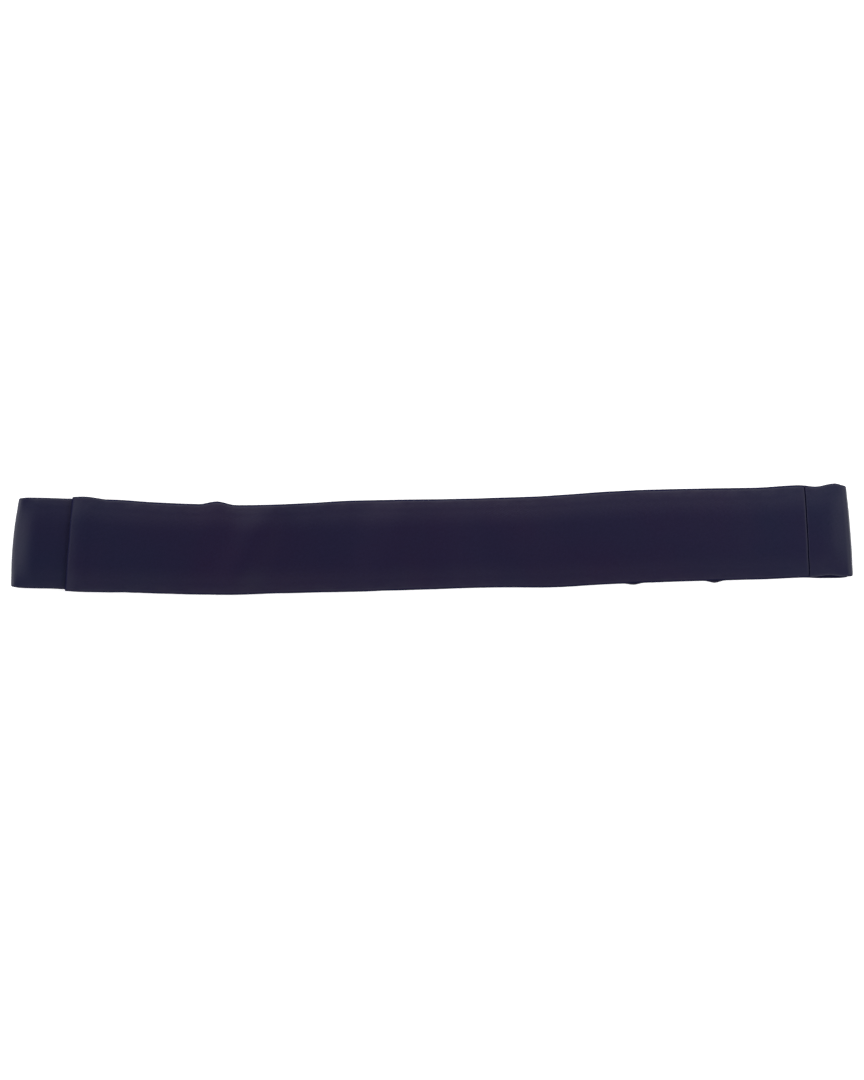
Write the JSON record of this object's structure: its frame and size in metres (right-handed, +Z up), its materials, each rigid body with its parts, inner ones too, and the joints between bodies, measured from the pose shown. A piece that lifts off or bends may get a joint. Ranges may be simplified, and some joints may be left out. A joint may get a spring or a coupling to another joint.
{
  "type": "cummerbund",
  "caption": "Contoured navy cloth cummerbund closed into a loop and lying flat, with a sewn seam at one end and a hooked overlap at the other.",
  "frame": {"origin": "centre of the outline seen from above, on the surface that the band lies on", "axes": "+X along the band towards the sewn seam, +Y across the band towards its shorter edge, +Z up from the surface"},
  "size_m": [0.3935, 0.0522, 0.0094],
  "materials": {
    "navy_cloth": "matte dark navy wool cloth with a fine weave and turned edges",
    "hook_steel": "plain satin steel plate"
  },
  "bodies": {
    "root": {"front_panel": "navy_cloth", "back_panel": "navy_cloth", "waist_hook": "hook_steel"}
  },
  "joints": []
}
